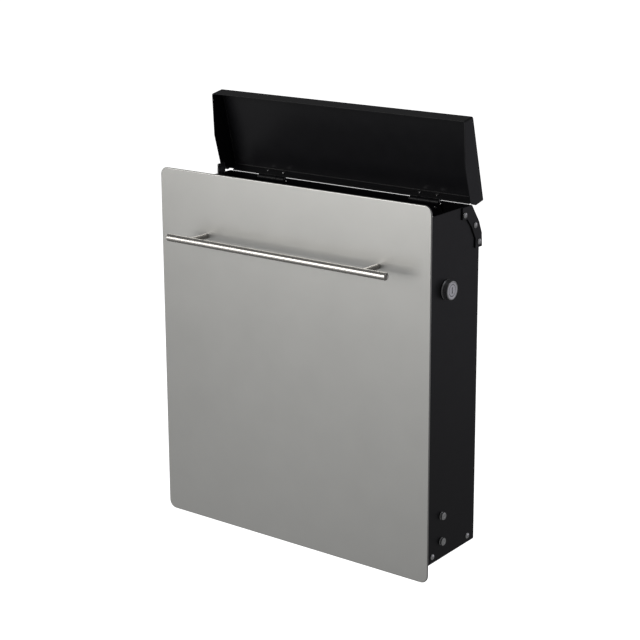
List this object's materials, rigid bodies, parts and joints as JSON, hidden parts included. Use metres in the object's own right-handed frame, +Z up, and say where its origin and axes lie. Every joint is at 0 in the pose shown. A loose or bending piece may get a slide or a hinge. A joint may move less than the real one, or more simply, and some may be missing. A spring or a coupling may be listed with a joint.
{
  "type": "wall mounted mailbox",
  "caption": "Wall mounted mailbox with a satin silver tilting front door, bar handle, a cam lock in its right side and a black hinged top lid over a black sheet metal box.",
  "frame": {"origin": "centre of the back plate's wall face", "axes": "+X to the right seen from the front, +Y into the wall, +Z up; the front door faces -Y"},
  "size_m": [0.355, 0.154, 0.4758],
  "materials": {
    "satin_silver": "satin silver sheet",
    "black_powder_coat": "satin black powder coat on sheet steel",
    "zinc_plate": "bright zinc plated steel",
    "polished_chrome": "polished chrome",
    "stainless_bar": "brushed stainless bar"
  },
  "bodies": {
    "box": {"back_plate": "black_powder_coat", "bottom_plate": "black_powder_coat", "ear_rivet_lower_left": "polished_chrome", "ear_rivet_lower_right": "polished_chrome", "ear_rivet_upper_left": "polished_chrome", "ear_rivet_upper_right": "polished_chrome", "hanger_ear_left": "black_powder_coat", "hanger_ear_right": "black_powder_coat", "hinge_leaf_left": "black_powder_coat", "hinge_leaf_right": "black_powder_coat", "leaf_rivet_inner_left": "polished_chrome", "leaf_rivet_inner_right": "polished_chrome", "leaf_rivet_outer_left": "polished_chrome", "leaf_rivet_outer_right": "polished_chrome", "lid_rest": "zinc_plate", "lid_rest_rivet": "polished_chrome", "lock_housing": "polished_chrome", "lock_nut": "zinc_plate", "pivot_pin_left": "polished_chrome", "pivot_pin_right": "polished_chrome", "pivot_ring_left": "zinc_plate", "pivot_ring_right": "zinc_plate", "rear_top_plate": "black_powder_coat", "side_rivet_front_left": "polished_chrome", "side_rivet_front_right": "polished_chrome", "side_rivet_rear_left": "polished_chrome", "side_rivet_rear_right": "polished_chrome", "side_rivet_top_left": "polished_chrome", "side_rivet_top_right": "polished_chrome", "side_wall_left": "black_powder_coat", "side_wall_right": "black_powder_coat", "stop_pin_left": "polished_chrome", "stop_pin_right": "polished_chrome", "stop_ring_left": "zinc_plate", "stop_ring_right": "zinc_plate"},
    "door": {"front_panel": "satin_silver", "door_tray": "black_powder_coat", "handle_bar": "stainless_bar", "handle_post_left": "stainless_bar", "handle_post_right": "stainless_bar", "handle_screw_left": "zinc_plate", "handle_screw_right": "zinc_plate", "lock_catch": "black_powder_coat"},
    "lock": {"lock_plug": "polished_chrome", "lock_cam": "zinc_plate", "cam_screw": "zinc_plate"},
    "lid": {"hinge_pin_left": "polished_chrome", "hinge_pin_right": "polished_chrome", "lid_leaf_left": "black_powder_coat", "lid_leaf_right": "black_powder_coat", "lid_pan": "black_powder_coat", "lid_rivet_inner_left": "polished_chrome", "lid_rivet_inner_right": "polished_chrome", "lid_rivet_outer_left": "polished_chrome", "lid_rivet_outer_right": "polished_chrome"}
  },
  "joints": [
    {"name": "door_tilt", "type": "hinge", "parent": "box", "child": "door", "pos_m": [0, -0.0705, -0.168], "axis": [1, 0, 0], "range_deg": [0, 35]},
    {"name": "lid_hinge", "type": "hinge", "parent": "box", "child": "lid", "pos_m": [0, -0.0205, 0.185], "axis": [1, 0, 0], "range_deg": [0, 75.6]},
    {"name": "lock_turn", "type": "hinge", "parent": "box", "child": "lock", "pos_m": [0.1605, -0.067, 0.1075], "axis": [-1, 0, 0], "range_deg": [0, 90]}
  ]
}
